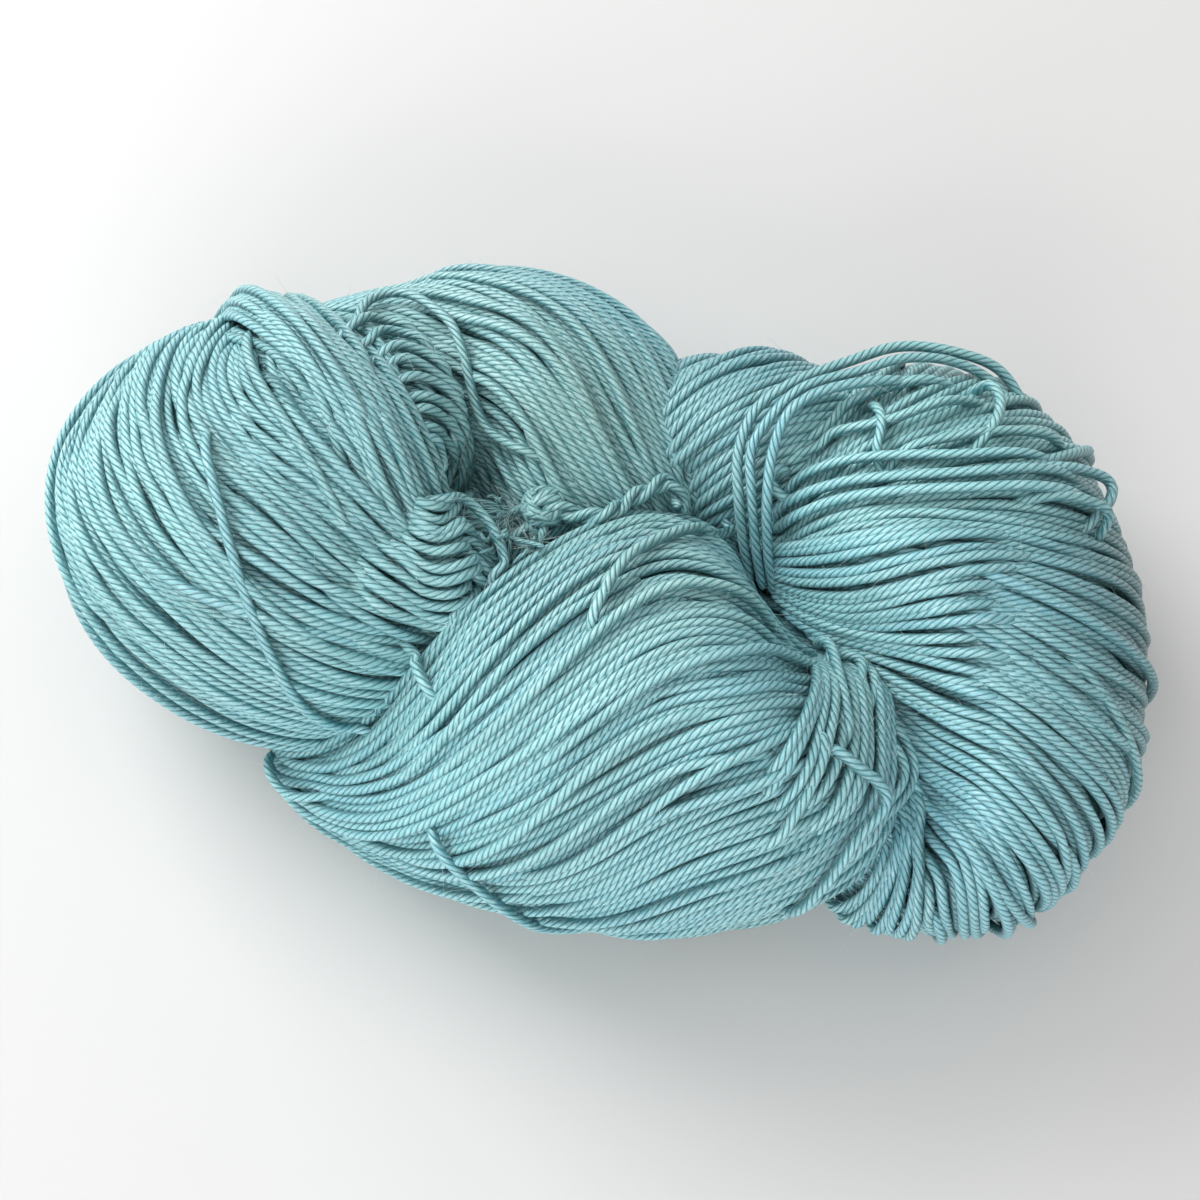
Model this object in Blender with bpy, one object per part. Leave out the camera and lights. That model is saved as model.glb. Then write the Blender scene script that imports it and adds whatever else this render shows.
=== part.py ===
"""A skein of pale aqua yarn: a short, fat twisted hank lying on its side, with a frayed tie in its crease.

The wound form is one solid. Each fold of the hank is a lobe whose ridges run the way the yarn is wound,
so the main twists can be read on the solid. The fine turns are not modelled here.
X runs along the hank, Y across it and Z up from the surface that it rests on.
"""

from math import cos, pi, radians, sin

import bmesh
import bpy
import numpy as np
from mathutils import Matrix, Vector
from mathutils.bvhtree import BVHTree

MM = 0.001
YARN = 1.8                      # diameter of one strand, mm
CENTRE = (-1.0, 1.25)           # mm, middle of the wound form in the tables' own coordinates
GAP = 0.3                       # mm, between the tie and the hank
RIDGE_HEIGHT = 0.45             # mm, how far a wound bundle stands proud of its lobe
RIDGE_SWELLS = ((3, 0.6), (5, 0.4))  # slower swells over the bundles: how many round a lobe, and their share
SIDE_POINTS = 4                 # points across one ridge
THINNEST = 0.3                  # mm, least half size of a ply's section
FLOOR_BLOCK = 400.0             # mm, side of the block that cuts the resting face
HANK_COLOUR = (0.24, 0.52, 0.55)
TIE_COLOUR = (0.33, 0.60, 0.60)

# Round lobes: the folds at the two ends and the small turns beside the central hollow.
# place and half sizes in mm; yaw in degrees; the yarn runs over the lobe from one pole to the other,
# and a pole is given by its bearing and its height angle as seen from the middle of the lobe.
ROUND_LOBES = (
    # name, place, half sizes, yaw, first pole, last pole, fullness, ridges, steps
    ("left_fold", (-53, 11, 30), (39, 33, 31), -35, (36, -7), (112, 0), 2.15, 14, 14),
    ("right_fold", (56, -8, 29), (33, 48, 30), 3, (164, 10), (164, -22), 2.10, 18, 24),
    ("back_fold", (25, 24, 25), (27, 20, 25), -10, (-111, -19), (-88, -50), 2.00, 8, 10),
    ("inner_turn", (-32.5, 28, 37.5), (12, 14.5, 16), 10, (125, 25), (-95, -20), 2.00, 6, 8),
    ("crease_turn", (-27, 0, 40.5), (12, 12, 13), -20, (165, 40), (15, -25), 2.00, 6, 8),
)

# Long lobes: the two plies that cross between the folds, a row for each section.
# x, y, z of its middle, half width, half height above, half height below, in mm, and turn in degrees.
# The front ply's rows end with the bearing and height of the way its section faces, in degrees, because
# its right end closes round towards the pinch. The others' sections face along their middle line.
FRONT_PLY = (
    (-56, -23, 17, 3, 3, 3, 50, -20, 5),
    (-48, -26, 18, 8, 8, 10, 45, -14, 10),
    (-33, -27, 23, 17, 15, 20, 35, -2, 15),
    (-11, -25, 30, 29, 28, 31, 12, 6, 12),
    (12, -22, 33, 34, 32, 34, -12, 6, 8),
    (28, -23, 35.5, 28.5, 27, 29, -20, 14, 8),
    (36, -22.5, 37.5, 20.5, 16, 21, -24, 30, 9),
    (39.5, -19.5, 38.5, 12, 10, 12, -26, 45, 10),
    (40, -16, 39, 5, 4.5, 5, -27, 55, 10),
    (38.5, -13.5, 39.5, 1.5, 1.5, 1.5, -28, 60, 10),
)
BACK_PLY = (
    (-59, 38, 26, 3, 3, 3, -40),
    (-50, 37, 29, 14, 16, 14, -35),
    (-34, 33, 29, 24, 19, 26, -22),
    (-15, 30, 28, 27, 25, 29, 0),
    (3, 18, 27, 22, 22, 26, 25),
    (13, 8, 26, 12, 14, 14, 38),
    (17, 4, 26, 3, 3, 3, 42),
)
# The bunch of loose strands that rides over the left fold, from its back down to the crease.
CREST = (
    (-56, 37, 20, 3, 4, 4, 0),
    (-56, 40.5, 29, 7, 10, 10, 0),
    (-51.5, 41.5, 40, 8, 13, 12, 0),
    (-45, 33, 50, 8, 11.5, 10, 0),
    (-38.5, 22, 54, 8, 9.5, 7, 0),
    (-32.5, 12, 52.5, 7, 8, 6, 0),
    (-28, 3, 46.5, 5, 6, 6, 0),
    (-25.5, -2, 40, 3, 3, 3, 0),
)
LONG_LOBES = (
    # name, sections, ridges, steps
    ("front_ply", FRONT_PLY, 16, 20),
    ("back_ply", BACK_PLY, 12, 16),
    ("crest", CREST, 8, 14),
)

# Deep creases: x, y and depth in mm along the line where the skin of a lobe is sunk.
RIGHT_CREASE = (
    (27, -1, 14), (31, -6.5, 14), (36, -12.5, 14), (42, -16, 14), (46.5, -21, 14), (50, -30, 14),
    (49.5, -37, 14), (45, -45, 14), (40, -51, 14),
)
HOLLOW_CREASE = (
    (-25, 37, 3), (-22.5, 31, 6), (-20.5, 24, 11), (-20.5, 17, 15), (-20, 11, 15), (-17, 5, 14),
    (-14, 0, 10),
)
CREASES = {
    # lobe: line, half width in mm, and heights in mm between which the skin starts to sink
    "right_fold": (RIGHT_CREASE, 7.0, 20.0, 36.0),
    "left_fold": (HOLLOW_CREASE, 8.0, 18.0, 46.0),
    "back_ply": (HOLLOW_CREASE, 6.0, 18.0, 36.0),
}

# Strands that have slipped off their fold and stand clear of it, as routes in mm.
OUTER_ARCH = (
    (23, 5, 44), (22, 10, 50), (22, 17, 52), (25, 24, 53), (30, 28, 53), (40, 33, 51),
    (49, 37, 48), (58, 37, 46), (66, 35, 43), (70, 30, 40), (72, 26, 34),
)
INNER_ARCH = (
    (25, 4, 44), (24, 11, 51), (24, 17, 53), (27, 22, 54), (32, 27, 54), (42, 31, 52),
    (49, 34, 50), (57, 35, 47), (64, 33, 44), (68, 29, 41), (70, 24, 34),
)
LOW_ARCH = (
    (27, 3, 43), (26.5, 10, 51), (27.5, 17, 53.5), (30, 22.5, 55), (34.5, 26, 54.5), (42, 28.5, 53),
    (49, 30, 50), (56, 31, 44),
)
SLIPPED_STRANDS = (
    ("outer_arch", OUTER_ARCH),
    ("inner_arch", INNER_ARCH),
    ("low_arch", LOW_ARCH),
)

# The order in which the lobes are joined.
JOINED = (
    "front_ply", "left_fold", "right_fold", "back_ply", "back_fold", "crest", "inner_turn", "crease_turn",
)

# The tie lies in the crease between the plies. Its routes are x, y in mm, and its heights follow
# from the surface below it.
TIE_CORD = ((-9, 9.5), (-5.5, 8.5), (-2, 7), (1.5, 7.5), (4.5, 10), (8, 12), (11, 13.5), (12.5, 12), (13, 9))
TIE_CORD_RADII = (1.5, 1.3, 1.3, 1.1)
TIE_ENDS = (
    ((-9, 9.5), (-12.5, 10), (-17, 9)),
    ((-9, 9.5), (-12.5, 6.5), (-16.5, 3.5)),
    ((-9, 9.5), (-9, 5.5), (-11, 0.5)),
)
TIE_END_RADII = (1.6, 1.6, 1.3, 0.8)
DISC_BEARINGS = 12              # the surface under the tie is felt for over discs: bearings, and
DISC_REACHES = (0.5, 1.0, 1.3)  # shares of the disc's radius
TIE_CORD_STEPS = 36
TIE_END_STEPS = 12
TIE_SIDES = 10
TIE_LAY = 7.0                   # mm, length of one turn of the tie's two twisted strands
TIE_TWIST_DEPTH = 0.2           # how far the two strands part, as a share of the tie's radius
KNOT_PLACE = (-9, 9.5)
KNOT_HALF = (3.2, 3.0, 2.3)
KNOT_LUMP = 0.12                # height of the knot's lumps, as a share of its size
KNOT_WAVES = ((5, 0, 3), (0, 4, -3))  # the lumps are where these two waves across the knot meet


def placed(points):
    """Points of the tables, in metres from the middle of the wound form."""
    return (np.array(points, float) - (*CENTRE, 0)) * MM


def direction(bearing, height):
    bearing, height = radians(bearing), radians(height)
    return np.array((cos(height) * cos(bearing), cos(height) * sin(bearing), sin(height)))


def pole_arc(first, last, angle, steps):
    """Points on a unit ball from one pole to the other, in the plane at this angle about their chord."""
    middle = (first + last) / 2
    half = np.linalg.norm(last - first) / 2
    along = (last - first) / (2 * half)
    outward = middle - along * (middle @ along)
    outward /= np.linalg.norm(outward)
    across = cos(angle) * outward + sin(angle) * np.cross(along, outward)
    normal = np.cross(along, across)
    centre = normal * (normal @ middle)
    radius = np.sqrt(1 - (normal @ middle) ** 2)
    reach = np.arctan2(half, (middle - centre) @ across)
    turn = np.linspace(-reach, reach, steps + 1)[:, None]
    return centre + radius * (np.cos(turn) * across + np.sin(turn) * along)


def even_angles(first, last, half_sizes, count):
    """Angles about the chord that space the arcs evenly where they are widest apart."""
    tried = np.linspace(0, 2 * pi, 361)
    middles = np.array([pole_arc(first, last, angle, 2)[1] for angle in tried]) * half_sizes
    travelled = np.concatenate(([0], np.cumsum(np.linalg.norm(np.diff(middles, axis=0), axis=1))))
    wanted = np.linspace(0, travelled[-1], count, endpoint=False)
    return np.interp(wanted, travelled, tried)


def ridge(column, ridges, fade):
    """Height of the wound bundles at a column of points, uneven from one bundle to the next."""
    phase = 2 * pi * column / SIDE_POINTS
    swell = sum(share * sin(waves * phase / ridges + waves) for waves, share in RIDGE_SWELLS)
    return RIDGE_HEIGHT * fade * (cos(phase) + swell)


def creased(name, points):
    """The skin of a lobe sunk along its crease, on its upper side alone."""
    if name not in CREASES:
        return points
    route, reach, low, high = CREASES[name]
    line = smooth_rows(route, 30)
    apart = np.linalg.norm(points[..., None, :2] - line[:, :2], axis=-1)
    depth = line[apart.argmin(axis=-1), 2]
    share = np.clip((points[..., 2] - low) / (high - low), 0, 1) * np.exp(-((apart.min(axis=-1) / reach) ** 2))
    sunk = points.copy()
    sunk[..., 2] -= depth * share
    return sunk


def round_lobe(name, middle, half_sizes, yaw, first, last, fullness, ridges, steps):
    """A fold: a full ball over which the yarn runs from one pole to the other."""
    first = direction(*first)
    last = direction(*last)
    half_sizes = np.array(half_sizes, float)
    turned = np.array(Matrix.Rotation(radians(yaw), 3, "Z"))
    fade = np.sin(np.linspace(0, pi, steps + 1))[:, None]
    columns = []
    for column, angle in enumerate(even_angles(first, last, half_sizes, ridges * SIDE_POINTS)):
        arc = pole_arc(first, last, angle, steps)
        arc /= (np.abs(arc) ** fullness).sum(axis=1, keepdims=True) ** (1 / fullness)
        arc *= half_sizes + ridge(column, ridges, fade)
        columns.append(arc @ turned.T + np.array(middle))
    return lofted(name, placed(creased(name, np.array(columns))))


def smooth_rows(rows, steps):
    """The rows of a table joined by a smooth curve and read at even steps."""
    rows = np.array(rows, float)
    gaps = np.sqrt(np.linalg.norm(np.diff(rows[:, :3], axis=0), axis=1))
    at = np.concatenate(([0], np.cumsum(gaps)))
    slope = np.gradient(rows, at, axis=0)
    read = np.linspace(0, at[-1], steps + 1)
    row = np.clip(np.searchsorted(at, read, side="right") - 1, 0, len(at) - 2)
    step = (at[row + 1] - at[row])[:, None]
    part = (read - at[row])[:, None] / step
    return (
        (2 * part**3 - 3 * part**2 + 1) * rows[row]
        + (part**3 - 2 * part**2 + part) * step * slope[row]
        + (3 * part**2 - 2 * part**3) * rows[row + 1]
        + (part**3 - part**2) * step * slope[row + 1]
    )


def frames_along(middles, facings=None):
    """Unit vectors across and upwards at each point of a line, turned as little as the line allows."""
    ahead = np.gradient(middles, axis=0) if facings is None else facings
    ahead = ahead / np.linalg.norm(ahead, axis=1)[:, None]
    across = np.array((0.0, 1.0, 0.0))
    frames = []
    for forward in ahead:
        across = across - forward * (across @ forward)
        across /= np.linalg.norm(across)
        frames.append((across, np.cross(forward, across)))
    return frames


def long_lobe(name, sections, ridges, steps):
    """A ply: sections along a curved middle line, turned a little from one to the next."""
    read = smooth_rows(sections, steps)
    middles = read[:, :3]
    sizes = np.maximum(read[:, 3:6], THINNEST)
    facings = np.array([direction(*row[7:]) for row in read]) if read.shape[1] > 7 else None
    columns = [[] for _ in range(ridges * SIDE_POINTS)]
    for row, (across, upward) in enumerate(frames_along(middles, facings)):
        width, above, below = sizes[row]
        for column, points in enumerate(columns):
            angle = 2 * pi * column / len(columns) + radians(read[row, 6])
            extra = ridge(column, ridges, sin(pi * row / steps))
            height = (above if sin(angle) > 0 else below) + extra
            points.append(middles[row] + (width + extra) * cos(angle) * across + height * sin(angle) * upward)
    return lofted(name, placed(creased(name, np.array(columns))))


def lofted(name, columns):
    """A closed body from columns of points that all run from one end to the other."""
    count, rows = columns.shape[:2]
    points = [columns[:, 0].mean(axis=0), columns[:, -1].mean(axis=0)]
    points += [columns[column, row] for row in range(1, rows - 1) for column in range(count)]
    last_ring = 2 + (rows - 3) * count
    faces = []
    for column in range(count):
        beside = (column + 1) % count
        faces.append((0, 2 + beside, 2 + column))
        faces.append((last_ring + column, last_ring + beside, 1))
        for ring in range(2, last_ring, count):
            faces.append((ring + column, ring + beside, ring + count + beside, ring + count + column))
    mesh = bpy.data.meshes.new(name)
    mesh.from_pydata(points, [], faces)
    return facing_out(name, mesh)


def facing_out(name, mesh):
    edited = bmesh.new()
    edited.from_mesh(mesh)
    bmesh.ops.remove_doubles(edited, verts=edited.verts, dist=0.00001)
    bmesh.ops.recalc_face_normals(edited, faces=edited.faces)
    edited.to_mesh(mesh)
    edited.free()
    return bpy.data.objects.new(name, mesh)


def tube(name, route, radius):
    """A round tube through the route's points, with closed ends. The radius is in mm."""
    curve = bpy.data.curves.new(name, "CURVE")
    curve.dimensions = "3D"
    curve.bevel_depth = radius * MM
    curve.bevel_resolution = 1
    curve.use_fill_caps = True
    spline = curve.splines.new("POLY")
    spline.points.add(len(route) - 1)
    for point, spot in zip(spline.points, route):
        point.co = (*spot, 1.0)
    drawn = bpy.data.objects.new(name, curve)
    bpy.context.scene.collection.objects.link(drawn)
    bpy.context.view_layer.update()
    mesh = bpy.data.meshes.new_from_object(drawn.evaluated_get(bpy.context.evaluated_depsgraph_get()))
    bpy.data.objects.remove(drawn)
    bpy.data.curves.remove(curve)
    return facing_out(name, mesh)


def slipped_strand(name, route):
    return tube(name, placed(smooth_rows(route, len(route) * 2)), YARN / 2)


def block(name, low, high):
    mesh = bpy.data.meshes.new(name)
    edited = bmesh.new()
    bmesh.ops.create_cube(edited, size=1.0)
    for vertex in edited.verts:
        vertex.co = [low[axis] if vertex.co[axis] < 0 else high[axis] for axis in range(3)]
    edited.to_mesh(mesh)
    edited.free()
    return bpy.data.objects.new(name, mesh)


def helper_collection():
    helpers = bpy.data.collections.new("skein_helpers")
    helpers.hide_render = True
    bpy.context.scene.collection.children.link(helpers)
    return helpers


def add_helpers(helpers, objects):
    for helper in objects:
        helpers.objects.link(helper)
        helper.hide_render = True
        helper.display_type = "WIRE"


def combine(body, other, operation):
    change = body.modifiers.new(f"{operation.lower()}_{other.name}", "BOOLEAN")
    change.operation = operation
    change.solver = "MANIFOLD"
    change.object = other


def wound_form(helpers):
    """The hank: every fold and ply joined into one body, cut flat where it rests."""
    made = [long_lobe(*row) for row in LONG_LOBES] + [round_lobe(*row) for row in ROUND_LOBES]
    lobes = [next(lobe for lobe in made if lobe.name == name) for name in JOINED]
    strands = [slipped_strand(*row) for row in SLIPPED_STRANDS]
    hank = lobes[0]
    hank.name = "hank"
    half = FLOOR_BLOCK * MM / 2
    floor = block("floor_cut", (-half, -half, -half), (half, half, 0.0))
    add_helpers(helpers, lobes[1:] + strands + [floor])
    for other in lobes[1:] + strands:
        combine(hank, other, "UNION")
    combine(hank, floor, "DIFFERENCE")
    return hank


def highest_under(surface, spot, radius):
    """Height of the highest point of the surface under a disc of this radius."""
    bearings = [2 * pi * turn / DISC_BEARINGS for turn in range(DISC_BEARINGS)]
    tried = [(0.0, 0.0)] + [
        (reach * radius * cos(bearing), reach * radius * sin(bearing))
        for bearing in bearings
        for reach in DISC_REACHES
    ]
    heights = []
    for across, along in tried:
        start = Vector((spot[0] + across, spot[1] + along, FLOOR_BLOCK * MM))
        heights.append(surface.ray_cast(start, Vector((0.0, 0.0, -1.0)))[0].z)
    return max(heights)


def knot_middle(surface):
    middle = Vector(placed((*KNOT_PLACE, 0)))
    middle.z = highest_under(surface, middle, KNOT_HALF[0] * MM) + (KNOT_HALF[2] * (1 + KNOT_LUMP) + GAP) * MM
    return middle


def laid_on(surface, route, radii, steps):
    """A length of the tie that leaves the knot, lifted clear of the surface below it: its points in
    metres, and its radii in mm."""
    smooth = smooth_rows([(x, y, 0) for x, y in route], steps)
    sizes = np.interp(np.linspace(0, 1, len(smooth)), np.linspace(0, 1, len(radii)), radii)
    laid = placed(smooth)
    for spot, radius in zip(laid, sizes * (1 + TIE_TWIST_DEPTH)):
        spot[2] = highest_under(surface, spot, radius * MM) + (radius + GAP) * MM
    laid[0] = knot_middle(surface)
    for row in range(1, steps):
        laid[row, 2] = max(laid[row, 2], (laid[row - 1, 2] + laid[row + 1, 2]) / 2)
    return laid, sizes


def twisted(name, middles, radii):
    """Two strands twisted together, as one body whose ridges wind along it."""
    frames = frames_along(middles)
    travelled = np.concatenate(([0], np.cumsum(np.linalg.norm(np.diff(middles, axis=0), axis=1))))
    columns = np.empty((TIE_SIDES, len(middles), 3))
    for row, (across, upward) in enumerate(frames):
        turn = 2 * pi * travelled[row] / (TIE_LAY * MM)
        for column in range(TIE_SIDES):
            angle = 2 * pi * column / TIE_SIDES
            radius = radii[row] * MM * (1 + TIE_TWIST_DEPTH * cos(2 * angle - 2 * turn))
            columns[column, row] = middles[row] + radius * (cos(angle) * across + sin(angle) * upward)
    return lofted(name, columns)


def knot(surface):
    """The lump where the tie's ends are knotted together, with the strands' turns as ridges on it."""
    mesh = bpy.data.meshes.new("tie_knot")
    edited = bmesh.new()
    bmesh.ops.create_uvsphere(edited, u_segments=24, v_segments=12, radius=1.0)
    middle = knot_middle(surface)
    for vertex in edited.verts:
        first, second = (cos(vertex.co.dot(wave)) for wave in map(Vector, KNOT_WAVES))
        grown = vertex.co * MM * (1 + KNOT_LUMP * first * second)
        vertex.co = middle + grown * Vector(KNOT_HALF)
    edited.to_mesh(mesh)
    edited.free()
    return bpy.data.objects.new("tie", mesh)


def tie_of(hank, helpers):
    """The tie: a knot with its doubled cord and its free ends, laid in the crease."""
    surface = BVHTree.FromObject(hank, bpy.context.evaluated_depsgraph_get())
    tie = knot(surface)
    lengths = [twisted("tie_cord", *laid_on(surface, TIE_CORD, TIE_CORD_RADII, TIE_CORD_STEPS))]
    for number, route in enumerate(TIE_ENDS):
        lengths.append(twisted(f"tie_end_{number}", *laid_on(surface, route, TIE_END_RADII, TIE_END_STEPS)))
    add_helpers(helpers, lengths)
    for length in lengths:
        combine(tie, length, "UNION")
    return tie


def yarn_material(name, colour):
    material = bpy.data.materials.new(name)
    material.use_nodes = True
    shader = material.node_tree.nodes["Principled BSDF"]
    shader.inputs["Base Color"].default_value = (*colour, 1.0)
    shader.inputs["Roughness"].default_value = 0.75
    shader.inputs["Metallic"].default_value = 0.0
    return material


def show(collection, part, material):
    collection.objects.link(part)
    part.data.materials.clear()
    part.data.materials.append(material)
    part.data.shade_smooth()


def main():
    for leftover in list(bpy.data.objects):
        bpy.data.objects.remove(leftover)
    helpers = helper_collection()
    skein = bpy.data.collections.new("skein_of_yarn")
    bpy.context.scene.collection.children.link(skein)
    hank = wound_form(helpers)
    show(skein, hank, yarn_material("hank_yarn", HANK_COLOUR))
    bpy.context.view_layer.update()
    show(skein, tie_of(hank, helpers), yarn_material("tie_yarn", TIE_COLOUR))


main()
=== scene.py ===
import math

import bpy
import numpy as np
from mathutils import Matrix, Vector
from mathutils.bvhtree import BVHTree


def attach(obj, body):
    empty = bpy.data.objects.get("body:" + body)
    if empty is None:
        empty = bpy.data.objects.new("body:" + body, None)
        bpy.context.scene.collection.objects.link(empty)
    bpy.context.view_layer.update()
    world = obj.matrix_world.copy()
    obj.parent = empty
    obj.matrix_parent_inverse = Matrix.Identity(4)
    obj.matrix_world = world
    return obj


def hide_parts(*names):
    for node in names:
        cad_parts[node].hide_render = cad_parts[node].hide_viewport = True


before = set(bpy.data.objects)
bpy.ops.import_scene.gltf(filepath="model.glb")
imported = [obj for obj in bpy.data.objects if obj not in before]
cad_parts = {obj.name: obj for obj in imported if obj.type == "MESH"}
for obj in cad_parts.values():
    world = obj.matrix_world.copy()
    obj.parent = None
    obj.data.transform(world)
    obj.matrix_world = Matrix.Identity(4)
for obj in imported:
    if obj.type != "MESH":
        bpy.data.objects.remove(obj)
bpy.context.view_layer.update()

# All sizes here are in mm. The tables' own middle is moved to the middle of the wound form.
mm = 0.001
tableMiddle = np.array((-1.0, 1.25, 0.0))
farOff = 99.0
tiny = 0.05  # least distance that is divided by
chance = np.random.default_rng(20)

photo = {
    "pixels": 1200,  # the photo's frame, in which the pixel places below are read
    "target": (0, 0, 28),  # what the camera looks at, and from where
    "bearing": -90, "height": 72, "distance": 380,
    "lens": 68.4, "sensor": 36,
}

# A strand: its thickness, the sides of its tube and the spacing of the rings along it. The plies' own
# roundness is in the finish, and lay is the length of one of their turns.
yarn = {"thick": 1.8, "sides": 8, "ring": 1.7, "lay": 8.0}
deepYarn = {"thick": 1.8, "sides": 6, "ring": 3.2}
looseYarn = {"thick": 1.75, "sides": 9, "ring": 0.9}

# Deep creases: lines along which the skin of a lobe is sunk, as x, y and depth. Between the two heights of
# fade the sinking grows from nothing to all of it.
rightCrease = {
    "line": ((27, -1, 14), (31, -6.5, 14), (36, -12.5, 14), (42, -16, 14), (46.5, -21, 14), (50, -30, 14),
             (49.5, -37, 14), (45, -45, 14), (40, -51, 14)),
    "reach": 7.0, "fade": (20.0, 36.0),
}
hollowCrease = {
    "line": ((-25, 37, 3), (-22.5, 31, 6), (-20.5, 24, 11), (-20.5, 17, 15), (-20, 11, 15), (-17, 5, 14),
             (-14, 0, 10)),
    "reach": 6.0, "fade": (18.0, 36.0),
}
foldCrease = {"line": hollowCrease["line"], "reach": 8.0, "fade": (18.0, 46.0)}

# The folds and plies of the wound form. A fold is a full ball over which the yarn runs from the first pole
# to the last, given as bearing and height in degrees. A ply is a row of sections along a curved line: x, y, z
# of the middle, half width, half height above and below, and turn. Facings are the sections' bearings and
# heights. Loose is how far the strands stray, and strays is how many of them ride over the others.
lobes = {
    "leftFold": {"middle": (-53, 11, 30), "half": (39, 33, 31), "yaw": -35, "first": (36, -7),
                 "last": (112, 0), "fullness": 2.15, "crease": foldCrease, "loose": 1.35, "strays": 30},
    "rightFold": {"middle": (56, -8, 29), "half": (33, 48, 30), "yaw": 3, "first": (164, 10),
                  "last": (164, -22), "fullness": 2.10, "loose": 1.1, "strays": 30, "crease": rightCrease},
    "backFold": {"middle": (25, 24, 25), "half": (27, 20, 25), "yaw": -10, "first": (-111, -19),
                 "last": (-88, -50), "fullness": 2.0, "loose": 0.9, "strays": 0},
    "innerTurn": {"middle": (-32.5, 28, 37.5), "half": (12, 14.5, 16), "yaw": 10, "first": (125, 25),
                  "last": (-95, -20), "fullness": 2.0, "loose": 1.6, "strays": 3},
    "creaseTurn": {"middle": (-27, 0, 40.5), "half": (12, 12, 13), "yaw": -20, "first": (165, 40),
                   "last": (15, -25), "fullness": 2.0, "loose": 1.2, "strays": 2},
    "frontPly": {
        "sections": (
            (-56, -23, 17, 3, 3, 3, 50), (-48, -26, 18, 8, 8, 10, 45), (-33, -27, 23, 17, 15, 20, 35),
            (-11, -25, 30, 29, 28, 31, 12), (12, -22, 33, 34, 32, 34, -12),
            (28, -23, 35.5, 28.5, 27, 29, -20), (36, -22.5, 37.5, 20.5, 16, 21, -24),
            (39.5, -19.5, 38.5, 12, 10, 12, -26), (40, -16, 39, 5, 4.5, 5, -27),
            (38.5, -13.5, 39.5, 1.5, 1.5, 1.5, -28)),
        "facings": ((-20, 5), (-14, 10), (-2, 15), (6, 12), (6, 8), (14, 8), (30, 9), (45, 10), (55, 10),
                    (60, 10)),
        "loose": 0.9, "strays": 22},
    "backPly": {
        "sections": (
            (-59, 38, 26, 3, 3, 3, -40), (-50, 37, 29, 14, 16, 14, -35), (-34, 33, 29, 24, 19, 26, -22),
            (-15, 30, 28, 27, 25, 29, 0), (3, 18, 27, 22, 22, 26, 25), (13, 8, 26, 12, 14, 14, 38),
            (17, 4, 26, 3, 3, 3, 42)),
        "crease": hollowCrease, "loose": 0.9, "strays": 14},
    "crest": {
        "sections": (
            (-56, 37, 20, 3, 4, 4, 0), (-56, 40.5, 29, 7, 10, 10, 0), (-51.5, 41.5, 40, 8, 13, 12, 0),
            (-45, 33, 50, 8, 11.5, 10, 0), (-38.5, 22, 54, 8, 9.5, 7, 0), (-32.5, 12, 52.5, 7, 8, 6, 0),
            (-28, 3, 46.5, 5, 6, 6, 0), (-25.5, -2, 40, 3, 3, 3, 0)),
        "loose": 1.5, "strays": 8},
}


def unit(vectors):
    return vectors / np.maximum(np.linalg.norm(vectors, axis=-1, keepdims=True), 1e-9)


def swung(turn, first, second):
    # turned by angles from one direction toward another
    return np.cos(turn)[..., None] * first + np.sin(turn)[..., None] * second


def summed(values):
    # running sum, from 0
    return np.concatenate(([0], np.cumsum(values)))


def between(rows, at, read):
    # read from a smooth curve through rows that stand at given distances, with the row before each place
    # and its share of the way to the next
    slope = np.gradient(rows, at, axis=0)
    row = np.clip(np.searchsorted(at, read, side="right") - 1, 0, len(at) - 2)
    step = (at[row + 1] - at[row])[:, None]
    part = (read - at[row])[:, None] / step
    smooth = (
        (2 * part**3 - 3 * part**2 + 1) * rows[row]
        + (part**3 - 2 * part**2 + part) * step * slope[row]
        + (3 * part**2 - 2 * part**3) * rows[row + 1]
        + (part**3 - part**2) * step * slope[row + 1]
    )
    return smooth, row, part


def smoothRows(rows, shares):
    rows = np.array(rows, float)
    gaps = np.sqrt(np.linalg.norm(np.diff(rows[:, :3], axis=0), axis=1))
    at = summed(gaps)
    return between(rows, at, np.asarray(shares) * at[-1])[0]


def evened(values, rounds, share=0.5):
    # smoothed along a strand, but for its two ends
    for _ in range(rounds):
        values[1:-1] += share * ((values[:-2] + values[2:]) / 2 - values[1:-1])
    return values


def bridged(values, rounds, better):
    # pulled straight over dips, toward the better of two values
    for _ in range(rounds):
        values[1:-1] = better(values[1:-1], (values[:-2] + values[2:]) / 2)
    return values


def distancesAlong(points):
    # how far along a line each of its points lies
    return summed(np.linalg.norm(np.diff(points, axis=0), axis=1))


def directionOf(bearing, height):
    # unit vectors from angles in degrees
    bearing, height = np.radians(bearing), np.radians(height)
    flat = np.cos(height)
    return np.stack((flat * np.cos(bearing), flat * np.sin(bearing), np.sin(height)), axis=-1)


def poleArcs(first, last, angles, shares):
    # arcs on a unit ball from one pole to the other, one for each angle about their chord
    middle = (first + last) / 2
    half = np.linalg.norm(last - first) / 2
    along = (last - first) / (2 * half)
    outward = unit(middle - along * (middle @ along))
    across = swung(angles, outward, np.cross(along, outward))
    normal = np.cross(along, across)
    away = normal @ middle
    centre = normal * away[:, None]
    radius = np.sqrt(1 - away**2)
    reach = np.arctan2(half, ((middle - centre) * across).sum(axis=1))
    turn = reach[:, None] * (2 * np.asarray(shares) - 1)
    return centre[:, None] + radius[:, None, None] * swung(turn, across[:, None], along)


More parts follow.
